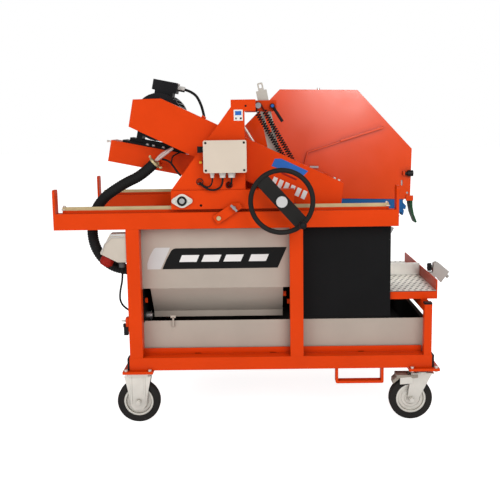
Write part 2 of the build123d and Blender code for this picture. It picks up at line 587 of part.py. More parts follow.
with BuildPart() as control_box:
    slab(BOX_X0 + 2, BOX_X1 - 2, BOX_Y0 + LID_T, BOX_BACK, BOX_Z0 + 2, BOX_Z1 - 2)
    fillet(control_box.edges().filter_by(Axis.Y), 6)
    for x, r in GLANDS:
        rod(x, GLAND_ROW, BOX_Z0 + 3, r, 14, (0, 0, -1))
        rod(x, GLAND_ROW, BOX_Z0 - 11, r - 2, 12, (0, 0, -1))
    rod(BOX_X0 + 4, GLAND_ROW, LAMP_Z, 9, 12, (-1, 0, 0))
    rod(BOX_X0 - 8, GLAND_ROW, LAMP_Z, 6, 12, (-1, 0, 0))
hand_in(control_box, "control_box")

with BuildPart() as box_lid:
    slab(BOX_X0, BOX_X1, BOX_Y0, BOX_Y0 + LID_T, BOX_Z0, BOX_Z1)
    fillet(box_lid.edges().filter_by(Axis.Y), 8)
    for x in (BOX_X0 + 11, BOX_X1 - 11):
        for z in (BOX_Z0 + 11, BOX_Z1 - 11):
            rod(x, BOX_Y0 - 1, z, 4.5, 3, mode=Mode.SUBTRACT)
hand_in(box_lid, "box_lid")

with BuildPart() as switch_knob:
    rod(BOX_X0 + 2, GLAND_ROW, SWITCH_Z, 13, 12, (-1, 0, 0))
    slab(BOX_X0 - 28, BOX_X0 - 10, GLAND_ROW - 5, GLAND_ROW + 5, SWITCH_Z - 14, SWITCH_Z + 14)
hand_in(switch_knob, "switch_knob")

BOX_RUNS = [[(772, -16, 1142.6), (772, -16, 1108), (741, -14, 1087), (700, -9, 1090), (666, 6, 1118)],
            [(812, -16, 1142.6), (812, -16, 1125), (807, -6, 1111), (800, 11, 1105)]]
BOX_CABLE_R = 3.8

with BuildPart() as box_cables:
    for run in BOX_RUNS:
        cord(run, BOX_CABLE_R, "box_cable")
hand_in(box_cables, "box_cables")

# ---- clamp lever, slotted depth link, springs
LEVER_X, LEVER_Z = 999.0, 1458.0

with BuildPart() as clamp_lever:
    rod(LEVER_X, 179.9, LEVER_Z, 11, 26, (0, -1, 0))
    with BuildSketch(Plane(origin=at(LEVER_X, 166, LEVER_Z), z_dir=(0.52, -0.2, -0.83))):
        Circle(7)
    extrude(amount=86)
hand_in(clamp_lever, "clamp_lever")

LINK_LOW_X, LINK_LOW_Z = 1036.0, 1090.0
LINK_AT = degrees(atan2(GUIDE_Z - LINK_LOW_Z, GUIDE_X - LINK_LOW_X))
LINK_REACH = hypot(GUIDE_Z - LINK_LOW_Z, GUIDE_X - LINK_LOW_X)
LINK_Y0, LINK_T = 188.0, 7.0
link_plane = Plane(origin=at(LINK_LOW_X, LINK_Y0, LINK_LOW_Z),
                   x_dir=(cos(radians(LINK_AT)), 0, sin(radians(LINK_AT))), z_dir=(0, -1, 0))
ARM_SLOT = 16.0

with BuildPart() as depth_link:
    with BuildSketch(link_plane):
        with Locations((LINK_REACH / 2 + 30, 0)):
            Rectangle(LINK_REACH + 90, 50)
        with Locations((LINK_REACH + 88, 0)):
            RectangleRounded(44, 26, 6)
        with Locations((LINK_REACH + 94, 0)):
            RectangleRounded(18, 12, 4, mode=Mode.SUBTRACT)
        with Locations((LINK_REACH - 56, 0)):
            SlotOverall(144, ARM_SLOT, mode=Mode.SUBTRACT)
        Circle(8 + GAP, mode=Mode.SUBTRACT)
    extrude(amount=-LINK_T)
hand_in(depth_link, "depth_link")

SPRING_R, WIRE_R = 15.5, 2.0
SPRINGS = [((942, 167, 1424), (1082, 167, 1160)), ((981, 170, 1421), (1122, 170, 1156))]


def spring(top, foot):
    """A close-wound tension spring, drawn as its sleeve of coils with a hooked end wire."""
    (way, n) = unit(foot, top)
    with BuildSketch(Plane(origin=at(*foot), z_dir=way)) as ring:
        Circle(SPRING_R)
        Circle(SPRING_R - 2 * WIRE_R, mode=Mode.SUBTRACT)
    extrude(ring.sketch, amount=n)


with BuildPart() as lift_springs:
    for top, foot in SPRINGS:
        spring(top, foot)
hand_in(lift_springs, "lift_springs")

# ================================================================ head
with BuildPart() as head_arm:
    with BuildSketch(arm_plane(ARM_Y0)):
        with Locations((ARM_LEN / 2, 0)):
            Rectangle(ARM_LEN, ARM_H)
    extrude(amount=-(ARM_Y1 - ARM_Y0))
    with BuildSketch(arm_plane(ARM_Y0 + 6)):
        with Locations((ARM_LEN / 2 - 30, 0)):
            Rectangle(ARM_LEN - 72, ARM_H - 12)
    extrude(amount=-(ARM_Y1 - ARM_Y0 - 12), mode=Mode.SUBTRACT)
    rod(BLADE_X, 190, BLADE_Z, HOUSING_R, GUARD_Y0 - 190)
    rod(BLADE_X, GUARD_Y0 - 14, BLADE_Z, 92, 14)
    rod(BLADE_X, 180, BLADE_Z, SPINDLE_R + 1, 290, mode=Mode.SUBTRACT)
    for y in (190, 424):
        rod(BLADE_X, y, BLADE_Z, HOUSING_R - 8, 20)
    rod(BLADE_X, 180, BLADE_Z, SPINDLE_R + GAP, 290, mode=Mode.SUBTRACT)
    rod(PIVOT_X, ARM_Y0 - 14, PIVOT_Z, 30, ARM_Y1 - ARM_Y0 + 28)
    rod(PIVOT_X, ARM_Y0 - 20, PIVOT_Z, PIVOT_R + GAP, ARM_Y1 - ARM_Y0 + 40, mode=Mode.SUBTRACT)
    rod(LINK_LOW_X, ARM_Y0 - 14, LINK_LOW_Z, 8, 14)
    for top, foot in SPRINGS:
        rod(foot[0] + 11, foot[1] - 8, foot[2] - 32, 6, ARM_Y0 - foot[1] + 8)
    for s, h in ((640, 30), (930, 10)):
        x, z = on_arm(s, h)
        rod(x, COVER_Y1, z, 10, ARM_Y0 - COVER_Y1)
    x, z = on_arm(464, 49)
    rod(x, 300, z, 14, 15, (sin(radians(TILT)), 0, cos(radians(TILT))))
    slab(448, 474, 168, ARM_Y0, 1194, 1210)
    way, run = unit((852, 0, 1390), (988, 0, 1164))
    rod(852, ARM_Y0 + 15, 1390, 6, run, way)
hand_in(head_arm, "head_arm")

SLEEVE_R = 25.0
SLEEVE = [(450, 130, 1203), (394, 130, 1150), (305, 130, 1112), (192, 128, 1036), (153, 124, 935),
          (157, 119, 835), (202, 114, 757), (280, 108, 712), (374, 101, 712)]

with BuildPart() as hose_clamp:
    way, _ = unit(SLEEVE[1], SLEEVE[0])
    x, y, z = SLEEVE[0]
    rod(x, y, z, SLEEVE_R + 4, 10, way)
    rod(x - way[0], y, z - way[2], SLEEVE_R + GAP, 14, way, mode=Mode.SUBTRACT)
    slab(452, 470, y + 28, y + 38, 1196, 1208)
    for s, r in ((-36, 5.5), (36, 5.5)):
        rod(x + 7 * way[0] + s * way[2], y, z + 7 * way[2] - s * way[0], r, 8, way)
        rod(x + 7 * way[0] + s * way[2] * 0.7, y, z + 7 * way[2] - s * way[0] * 0.7, 4,
            abs(s) * 0.35, (way[2] * s / abs(s), 0, -way[0] * s / abs(s)))
    rod(x + 14, y, z + 14, 6.5, 94, (cos(radians(36)), 0, sin(radians(36))))
hand_in(hose_clamp, "hose_clamp")

# ---- belt cover, pulleys and belt
COVER = [(346, 1373), (369, 1494), (495, 1496), (1320, 1104), (1302, 958), (1218, 958)]
MOTOR_X, MOTOR_Z = on_arm(MOTOR_S, MOTOR_H)
BELT_Y, BELT_W = 117.0, 46.0

with BuildPart() as belt_cover:
    plate(COVER, COVER_Y0, COVER_Y1)
    with BuildSketch(side(COVER_Y0 + SHEET)):
        with BuildLine():
            Polyline(*COVER, close=True)
        make_face()
        offset(amount=-SHEET, kind=Kind.INTERSECTION)
    extrude(amount=-(COVER_Y1 - COVER_Y0 - 2 * SHEET), mode=Mode.SUBTRACT)
    rod(MOTOR_X, COVER_Y1 - 5, MOTOR_Z, 30, 10, mode=Mode.SUBTRACT)
    rod(BLADE_X, COVER_Y1 - 5, BLADE_Z, 30, 10, mode=Mode.SUBTRACT)
hand_in(belt_cover, "belt_cover")


def pulley(x, z, r):
    rod(x, BELT_Y - BELT_W / 2 - 2, z, r, BELT_W + 4)


with BuildPart() as motor_pulley:
    pulley(MOTOR_X, MOTOR_Z, MOTOR_PULLEY_R)
    rod(MOTOR_X, BELT_Y, MOTOR_Z, 19, 80)
hand_in(motor_pulley, "motor_pulley")

with BuildPart() as drive_belt:
    for grow, mode in ((8.0, Mode.ADD), (0.3, Mode.SUBTRACT)):
        with BuildSketch(side(BELT_Y - BELT_W / 2)):
            with Locations((MOTOR_X, MOTOR_Z)):
                Circle(MOTOR_PULLEY_R + grow)
            with Locations((BLADE_X, BLADE_Z)):
                Circle(SPINDLE_PULLEY_R + grow)
            make_hull()
        extrude(amount=-BELT_W, mode=mode)
hand_in(drive_belt, "drive_belt")

with BuildPart() as blade_spindle:
    pulley(BLADE_X, BLADE_Z, SPINDLE_PULLEY_R)
    rod(BLADE_X, BELT_Y, BLADE_Z, SPINDLE_R, BLADE_Y - BELT_Y + 45)
    rod(BLADE_X, BLADE_Y - 24, BLADE_Z, 75, 22)
    rod(BLADE_X, BLADE_Y + 2, BLADE_Z, 75, 14)
    with BuildSketch(side(BLADE_Y + 16)):
        with Locations((BLADE_X, BLADE_Z)):
            RegularPolygon(32, 6)
    extrude(amount=-22)
hand_in(blade_spindle, "blade_spindle")

SEGMENTS, GULLET = 40, 10.0

with BuildPart() as blade:
    with BuildSketch(side(BLADE_Y - BLADE_T / 2)):
        with Locations((BLADE_X, BLADE_Z)):
            Circle(BLADE_R)
            Circle(SPINDLE_R, mode=Mode.SUBTRACT)
            with PolarLocations(BLADE_R, SEGMENTS):
                Rectangle(36, GULLET, mode=Mode.SUBTRACT)
    extrude(amount=-BLADE_T)
hand_in(blade, "blade")

# ---- blade guard
GX0, GX1 = BLADE_X - GUARD_HALF, BLADE_X + GUARD_HALF


def leaned(points):
    """Turns an outline a little about the blade, as the guard sits on the lowered arm."""
    t = radians(GUARD_TURN)
    return [(BLADE_X + GUARD_SHIFT + (x - BLADE_X) * cos(t) + (z - BLADE_Z) * sin(t),
             BLADE_Z - (x - BLADE_X) * sin(t) + (z - BLADE_Z) * cos(t)) for x, z in points]


def guard_outline(bottom):
    return leaned([(GX0, bottom), (GX0, GUARD_SHOULDER), (BLADE_X - GUARD_HALF_TOP, GUARD_TOP),
                   (BLADE_X + GUARD_HALF_TOP, GUARD_TOP), (GX1 + 6, GUARD_SHOULDER), (GX1 + 6, bottom)])


RIB = leaned([(1164, 1180), (1177, 1236), (1548, 1357)])
RIB_MID = leaned([(1341, 1286)])[0]
KNOB_ROW = 1124.0

with BuildPart() as blade_guard:
    plate(guard_outline(GUARD_BOTTOM), GUARD_Y0, GUARD_Y1)
    with BuildSketch(side(GUARD_Y0 + SHEET)):
        with BuildLine():
            Polyline(*guard_outline(GUARD_BOTTOM - 2 * SHEET), close=True)
        make_face()
        offset(amount=-SHEET, kind=Kind.INTERSECTION)
    extrude(amount=-(GUARD_Y1 - GUARD_Y0 - 2 * SHEET), mode=Mode.SUBTRACT)
    rod(BLADE_X, GUARD_Y0 - 5, BLADE_Z, 28, 12, mode=Mode.SUBTRACT)
    slab(1668, 1704, GUARD_Y0 - 6, GUARD_Y0 + 3, 986, 1012)
    slab(GX1 - 42, GX1 - 34, GUARD_Y0 - 26, GUARD_Y0 + 1, KNOB_ROW - 10, KNOB_ROW + 10)
    rod(GX1 - 36, GUARD_Y0 - 16, KNOB_ROW, 8, 16, (1, 0, 0))
    rod(GX1 - 21, GUARD_Y0 - 17, KNOB_ROW, 15, 28, (1, 0, 0))
    with BuildSketch(side(GUARD_Y0 - 7)):
        with Locations(Location((1647, 1076), 90)):
            SlotOverall(28, 8)
        with Locations((1675, 1026)):
            Circle(6)
    extrude(amount=-12, mode=Mode.SUBTRACT)
    nut_x, nut_z = leaned([(BLADE_X, GUARD_TOP)])[0]
    rod(nut_x, GUARD_Y0 + 12, nut_z - 1, 7, 10, (0, 0, 1))
    (x0, z0), (x1, z1), (x2, z2) = RIB
    plate([(x0, z0), (x0 + 5, z0), (x1 + 4, z1 - 5), (x2, z2 - 5), (x2, z2), (x1, z1)], GUARD_Y0 - 16,
          GUARD_Y0)
    x3, z3 = RIB_MID
    plate([(x3, z3), (x2 - 2, z2 - 4), (x2 + 4, z2 + 6), (x3, z3 + 10)], GUARD_Y0 - 20, GUARD_Y0)
hand_in(blade_guard, "blade_guard")

with BuildPart() as guard_skirt:
    for y in (GUARD_Y0 + SHEET, GUARD_Y1 - SHEET - 3):
        slab(GX0 + 40, 1660, y, y + 3, 926, 1022)
    for y0, y1 in ((GUARD_Y0 + SHEET, BLADE_Y - 16), (BLADE_Y + 16, GUARD_Y1 - SHEET)):
        slab(1664, 1668, y0, y1, 918, 1018)
    plate([(1693, 988), (1700, 988), (1708, 940), (1736, 868), (1728, 866), (1700, 930)], 500, 600)
hand_in(guard_skirt, "guard_skirt")

# ---- motor
FINS, FIN_H = 32, 10.0
FOOT_H = MOTOR_H - 134.0

with BuildPart() as motor:
    with BuildSketch(side(196)):
        with Locations((MOTOR_X, MOTOR_Z)):
            Circle(MOTOR_R)
            with PolarLocations(MOTOR_R + FIN_H / 2 - 1, FINS):
                Rectangle(FIN_H + 2, 4.5)
    extrude(amount=-236)
    rod(MOTOR_X, 178, MOTOR_Z, 110, 18)
    rod(MOTOR_X, 432, MOTOR_Z, 112, 60)
    rod(MOTOR_X, 170, MOTOR_Z, 19.05, 200, mode=Mode.SUBTRACT)
    rod(MOTOR_X, 200, MOTOR_Z, MOTOR_R - 18, 280, mode=Mode.SUBTRACT)
    with BuildSketch(arm_plane(230)):
        with Locations((MOTOR_S, FOOT_H + 8)):
            Rectangle(240, 16)
        with Locations((MOTOR_S - 78, FOOT_H + 40), (MOTOR_S + 78, FOOT_H + 40)):
            Rectangle(26, 70)
    extrude(amount=-120)
    with BuildSketch(arm_plane(245)):
        with Locations((MOTOR_S - 2, 341)):
            Rectangle(116, 48)
        with Locations((MOTOR_S - 2, 306)):
            Rectangle(86, 30)
    extrude(amount=-110)
    x, z = on_arm(MOTOR_S + 54, 343)
    rod(x, 300, z, 13, 34, (cos(radians(TILT)), 0, -sin(radians(TILT))))
    with BuildSketch(arm_plane(212)):
        with Locations((MOTOR_S, (FOOT_H + ARM_H / 2) / 2)):
            Rectangle(300, FOOT_H - ARM_H / 2)
    extrude(amount=-140)
hand_in(motor, "motor")

cx, cz = on_arm(MOTOR_S + 88.6, 343)
ex, ez = on_arm(464, 68)
MOTOR_RUN = [(cx, 300, cz), (632, 300, 1529), (664, 298, 1472), (680, 298, 1394), (690, 300, 1310),
             (ex + 2, 300, ez)]
with BuildPart() as motor_cable:
    cord(MOTOR_RUN, 6.5, "motor_cable")
hand_in(motor_cable, "motor_cable")

# ---- cable sleeve between the stand and the head
with BuildPart() as cable_sleeve:
    cord(SLEEVE, SLEEVE_R, "cable_sleeve")
hand_in(cable_sleeve, "cable_sleeve")
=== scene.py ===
import bmesh
import bpy
import math
from mathutils import Matrix, Vector


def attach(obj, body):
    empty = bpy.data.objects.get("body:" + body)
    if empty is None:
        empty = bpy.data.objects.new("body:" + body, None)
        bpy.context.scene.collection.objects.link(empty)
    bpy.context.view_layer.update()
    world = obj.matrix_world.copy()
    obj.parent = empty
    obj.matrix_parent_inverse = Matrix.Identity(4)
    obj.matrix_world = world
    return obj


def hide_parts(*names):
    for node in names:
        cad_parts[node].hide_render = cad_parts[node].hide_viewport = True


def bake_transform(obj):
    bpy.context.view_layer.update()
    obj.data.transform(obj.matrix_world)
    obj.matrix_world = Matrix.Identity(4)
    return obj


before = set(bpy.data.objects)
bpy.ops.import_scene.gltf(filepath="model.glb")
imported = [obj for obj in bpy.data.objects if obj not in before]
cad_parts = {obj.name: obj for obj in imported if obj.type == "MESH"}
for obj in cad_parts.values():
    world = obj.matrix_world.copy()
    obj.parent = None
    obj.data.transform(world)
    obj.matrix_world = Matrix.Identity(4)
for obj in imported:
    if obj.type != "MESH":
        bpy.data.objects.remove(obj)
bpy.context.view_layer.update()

X_MID, Y_MID = 935.25, 472.5


def P(x, y, z):
    """Millimetres from the near left end of the rail, turned into the shared frame in metres."""
    return Vector(((x - X_MID) / 1000, (y - Y_MID) / 1000, z / 1000))


# ---------------------------------------------------------------- camera
EYE = (931.2, -3658.24, 1368.476)
FOCAL_PX, PICTURE_PX, SENSOR_MM = 819.312376, 500, 36
YAW, PITCH, ROLL = -0.011743, -0.150372, -0.014913
fw = Vector((math.sin(YAW) * math.cos(PITCH), math.cos(YAW) * math.cos(PITCH), math.sin(PITCH)))
right = Vector((math.cos(YAW), -math.sin(YAW), 0))
up = right.cross(fw)
r2 = math.cos(ROLL) * right + math.sin(ROLL) * up
u2 = -math.sin(ROLL) * right + math.cos(ROLL) * up
cam_data = bpy.data.cameras.new("camera")
cam_data.sensor_width = SENSOR_MM
cam_data.lens = FOCAL_PX * SENSOR_MM / PICTURE_PX
cam_data.clip_end = 60
cam = bpy.data.objects.new("camera", cam_data)
bpy.context.scene.collection.objects.link(cam)
cam.matrix_world = Matrix.Translation(P(*EYE)) @ Matrix((r2, u2, -fw)).transposed().to_4x4()
bpy.context.scene.camera = cam

# ---------------------------------------------------------------- materials


def link(tree, a, b):
    tree.links.new(a, b)


def material(name, color, rough=0.4, metal=0.0, vary=0.06, grain=260.0, bump=0.02, edge=1.2,
             coat=0.0, crevice_shade=0.25, shine=0.15):
    """A painted, plated or moulded surface: cloudy tone, fine grain, painted shade in the crevices,
    softened edges.
    """
    m = bpy.data.materials.new(name)
    m.use_nodes = True
    t = m.node_tree
    n = t.nodes
    bsdf = n["Principled BSDF"]
    co = n.new("ShaderNodeTexCoord")
    mapping = n.new("ShaderNodeMapping")
    link(t, co.outputs["Object"], mapping.inputs["Vector"])
    cloud = n.new("ShaderNodeTexNoise")
    cloud.inputs["Scale"].default_value = 7.0
    cloud.inputs["Detail"].default_value = 5.0
    link(t, mapping.outputs["Vector"], cloud.inputs["Vector"])
    tone = n.new("ShaderNodeMapRange")
    tone.inputs["From Min"].default_value = 0.3
    tone.inputs["From Max"].default_value = 0.7
    tone.inputs["To Min"].default_value = 1.0 - vary
    tone.inputs["To Max"].default_value = 1.0 + vary
    link(t, cloud.outputs["Fac"], tone.inputs["Value"])
    # painted shade: ambient occlusion darkens the base colour in crevices and corners
    ao = n.new("ShaderNodeAmbientOcclusion")
    ao.samples = 4
    ao.inputs["Distance"].default_value = 0.03
    shade = n.new("ShaderNodeMapRange")
    shade.inputs["From Min"].default_value = 0.2
    shade.inputs["From Max"].default_value = 0.9
    shade.inputs["To Min"].default_value = 1.0 - crevice_shade
    shade.inputs["To Max"].default_value = 1.0
    link(t, ao.outputs["AO"], shade.inputs["Value"])
    mul = n.new("ShaderNodeMath")
    mul.operation = "MULTIPLY"
    link(t, tone.outputs["Result"], mul.inputs[0])
    link(t, shade.outputs["Result"], mul.inputs[1])
    mix = n.new("ShaderNodeVectorMath")
    mix.operation = "SCALE"
    mix.inputs[0].default_value = color
    link(t, mul.outputs["Value"], mix.inputs["Scale"])
    link(t, mix.outputs["Vector"], bsdf.inputs["Base Color"])
    fine = n.new("ShaderNodeTexNoise")
    fine.inputs["Scale"].default_value = grain
    fine.inputs["Detail"].default_value = 3.0
    link(t, mapping.outputs["Vector"], fine.inputs["Vector"])
    rr = n.new("ShaderNodeMapRange")
    rr.inputs["To Min"].default_value = max(0.03, rough - 0.07)
    rr.inputs["To Max"].default_value = min(1.0, rough + 0.09)
    link(t, cloud.outputs["Fac"], rr.inputs["Value"])
    link(t, rr.outputs["Result"], bsdf.inputs["Roughness"])
    bevel = n.new("ShaderNodeBevel")
    bevel.samples = 4
    bevel.inputs["Radius"].default_value = edge / 1000
    bp = n.new("ShaderNodeBump")
    bp.inputs["Strength"].default_value = bump * 10
    bp.inputs["Distance"].default_value = 0.0004
    link(t, fine.outputs["Fac"], bp.inputs["Height"])
    link(t, bevel.outputs["Normal"], bp.inputs["Normal"])
    link(t, bp.outputs["Normal"], bsdf.inputs["Normal"])
    bsdf.inputs["Metallic"].default_value = metal
    bsdf.inputs["Specular IOR Level"].default_value = shine
    bsdf.inputs["Coat Weight"].default_value = coat
    bsdf.inputs["Coat Roughness"].default_value = 0.15
    m.diffuse_color = (*color, 1)
    return m


ORANGE = material("orange_paint", (0.755, 0.052, 0.0010), 0.34, 0.0, 0.04, 420, 0.012, 2.2, crevice_shade=0.4,
                  shine=0.12)
# painted light: a brighter copy of the orange paint, used on the blade guard alone
LIT_ORANGE = material("orange_paint_lit", (0.86, 0.066, 0.001), 0.22, 0.0, 0.02, 420, 0.006, 2.2,
                 crevice_shade=0.4, shine=0.16)
GREY = material("grey_paint", (0.47, 0.405, 0.345), 0.42, 0.0, 0.04, 420, 0.012, 2.0, crevice_shade=0.3)
ZINC = material("zinc", (0.80, 0.775, 0.71), 0.38, 0.7, 0.14, 160, 0.05, 1.0)
YELLOW = material("yellow_zinc", (0.60, 0.49, 0.27), 0.42, 0.6, 0.14, 160, 0.05, 0.8)
# painted shade: a darker, browner copy of zinc for the brake pedals
SHADED_ZINC = material("zinc_shaded", (0.40, 0.355, 0.30), 0.5, 0.3, 0.25, 160, 0.05, 0.8)
# painted light: a brighter copy of the zinc for the table fence, making up for the shade on it
LIT_ZINC = material("zinc_lit", (0.97, 0.95, 0.89), 0.42, 0.75, 0.06, 160, 0.04, 1.0)
STOP = material("stop_casting", (0.50, 0.475, 0.44), 0.45, 0.1, 0.06, 300, 0.03, 1.0)
LINK = material("link_zinc", (0.56, 0.535, 0.475), 0.5, 0.1, 0.08, 200, 0.03, 0.8)
BOLT = material("bolt_zinc", (0.40, 0.42, 0.44), 0.32, 0.6, 0.12, 160, 0.03, 0.6)
STEEL = material("turned_steel", (0.55, 0.55, 0.55), 0.3, 0.9, 0.06, 200, 0.05, 0.6)
BLADE = material("blade_steel", (0.42, 0.42, 0.43), 0.34, 0.9, 0.08, 120, 0.05, 0.4)
BLACK = material("black_plastic", (0.010, 0.010, 0.011), 0.46, 0.0, 0.15, 500, 0.03, 1.0)
MOTOR = material("motor_black", (0.010, 0.010, 0.012), 0.42, 0.0, 0.2, 300, 0.05, 1.5)
RUBBER = material("black_rubber", (0.010, 0.010, 0.010), 0.6, 0.0, 0.2, 380, 0.05, 1.0)
CURTAIN = material("curtain_rubber", (0.004, 0.004, 0.0045), 0.62, 0.0, 0.25, 300, 0.05, 0.6)
DARK = material("unlit_inside", (0.012, 0.011, 0.010), 0.8, 0.0, 0.2, 300, 0.03, 0.6)
TYRE = material("tyre_rubber", (0.020, 0.018, 0.017), 0.7, 0.0, 0.2, 300, 0.06, 3.0)
BLUE = material("blue_rubber", (0.016, 0.130, 0.38), 0.5, 0.0, 0.08, 300, 0.04, 0.6)
GREEN = material("green_rubber", (0.02, 0.09, 0.035), 0.5, 0.0, 0.1, 300, 0.04, 0.6)
BOX = material("beige_plastic", (0.68, 0.58, 0.475), 0.4, 0.0, 0.03, 500, 0.02, 1.5, crevice_shade=0.4)
WHITE = material("white_plastic", (0.74, 0.72, 0.68), 0.4, 0.0, 0.04, 400, 0.02, 1.0)
PALE = material("grey_plastic", (0.60, 0.53, 0.45), 0.42, 0.0, 0.06, 400, 0.02, 1.2)
DIM = material("dark_grey_plastic", (0.09, 0.09, 0.09), 0.45, 0.0, 0.08, 400, 0.02, 1.0)
RED = material("red_plastic", (0.34, 0.012, 0.006), 0.38, 0.0, 0.06, 400, 0.02, 1.0)
AMBER = material("amber_lens", (0.80, 0.42, 0.03), 0.25, 0.0, 0.05, 300, 0.01, 0.6)
SILVER = material("silver_film", (0.62, 0.61, 0.60), 0.4, 0.25, 0.04, 300, 0.01, 0.2)
FILM = material("black_film", (0.006, 0.006, 0.006), 0.35, 0.0, 0.08, 300, 0.01, 0.2)
SKY = material("blue_film", (0.03, 0.14, 0.50), 0.35, 0.0, 0.04, 300, 0.01, 0.2)
PAPER = material("white_film", (0.82, 0.81, 0.79), 0.4, 0.0, 0.03, 300, 0.01, 0.2)
HUB = material("satin_cap", (0.62, 0.61, 0.60), 0.38, 0.3, 0.04, 300, 0.01, 1.0)
WHEEL = material("coated_wheel", (0.014, 0.013, 0.012), 0.5, 0.0, 0.12, 500, 0.05, 3.0)
CLEAR = material("clear_hose", (0.62, 0.50, 0.46), 0.2, 0.2, 0.12, 200, 0.03, 0.5)

PAINT = {
    ORANGE: "upper_rail_near upper_rail_far posts lower_rails cross_tubes forklift_loop table_frame "
            "caster_plates carriage_beams carriage_frame head_arm belt_cover lock_link",
    LIT_ORANGE: "blade_guard",
    GREY: "basin hopper",
    YELLOW: "track_bars hose_clamp",
    ZINC: "fixed_forks swivel_fork_near swivel_fork_far rim_left_near rim_left_far rim_right_near "
          "rim_right_far axle_bearings table_top",
    LIT_ZINC: "table_fence",
    LINK: "depth_link",
    STEEL: "long_axle wheel_axle far_roller blade_spindle motor_pulley",
    BLADE: "blade",
    TYRE: "tyre_left_near tyre_left_far tyre_right_near tyre_right_far",
    RUBBER: "cable_sleeve mains_lead motor_cable box_cables drive_belt",
    CURTAIN: "curtain",
    BLUE: "guard_skirt",
    BLACK: "tube_caps switch_knob wheel_knob clamp_lever lift_springs",
    SHADED_ZINC: "brake_pedal_near brake_pedal_far",
    STOP: "angle_stop",
    WHEEL: "handwheel",
    PALE: "inlet_housing",
    RED: "inlet_collar",
    MOTOR: "motor",
    BOX: "control_box box_lid",
}
for mat, names in PAINT.items():
    for name in names.split():
        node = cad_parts[name]
        node.data.materials.clear()
        node.data.materials.append(mat)


def paint(node, mat, test):
    """Gives the faces whose middle passes the test another surface."""
    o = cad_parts[node]
    o.data.materials.append(mat)
    k = len(o.data.materials) - 1
    for f in o.data.polygons:
        c = o.matrix_world @ f.center
        if test(c.x * 1000 + X_MID, c.y * 1000 + Y_MID, c.z * 1000):
            f.material_index = k


paint("lock_link", BOLT, lambda x, y, z: y < -17.2)
paint("control_box", WHITE, lambda x, y, z: z < 1167.5)
paint("control_box", RED, lambda x, y, z: x < 691.5 and z < 1230)
paint("control_box", AMBER, lambda x, y, z: x < 681.8 and z < 1230)
paint("motor", WHITE, lambda x, y, z: z > 1540 and 285 < y < 315)
paint("wheel_axle", HUB, lambda x, y, z: y < -96.9)
paint("angle_stop", BLACK, lambda x, y, z: 1758.5 < x < 1777.5 and z > 645)
paint("inlet_housing", DIM, lambda x, y, z: z < 765.9 and 285 < x < 320)
paint("blade_guard", BLACK, lambda x, y, z: x > 1658.5 and y < 449.4 and 1106 < z < 1142)
paint("blade_guard", ZINC, lambda x, y, z: abs(x - 1232) < 9 and abs(y - 462) < 9 and z > 1530)
paint("caster_plates", ZINC, lambda x, y, z: z < 243.9 or z > 256.1)
paint("fixed_forks", BLACK, lambda x, y, z: x > 1000)
paint("hose_clamp", CLEAR, lambda x, y, z: z > 1221 and x > 466)
# the brake pedals keep plain zinc only on these faces; the rest carries the painted shade of the darker
# zinc copy
for spot, mid in (("near", 47), ("far", 1053)):
    paint(f"brake_pedal_{spot}", ZINC, lambda x, y, z: z < 204 and abs(y - mid) > 30)
paint("carriage_frame", BOLT, lambda x, y, z: (915 < x < 950 and 1445 < z < 1475 and y < 179) or
      (955 < x < 970 and y > 186.1 and z > 1440 and y < 200))
paint("head_arm", ZINC, lambda x, y, z: y < 199.9 and z > 1110 and x > 1045 and x < 1180)
paint("head_arm", ZINC, lambda x, y, z: y > 208 and y < 222 and 850 < x < 990 and
      abs((x - 852) * 0.857 + (z - 1390) * 0.5156) < 6.3)
# painted shade: faces inside the basin go near black; the test also darkens the outer faces of the far
# and end walls
paint("basin", DARK, lambda x, y, z: y > 72.5 and z > 200)

# ---------------------------------------------------------------- shape helpers


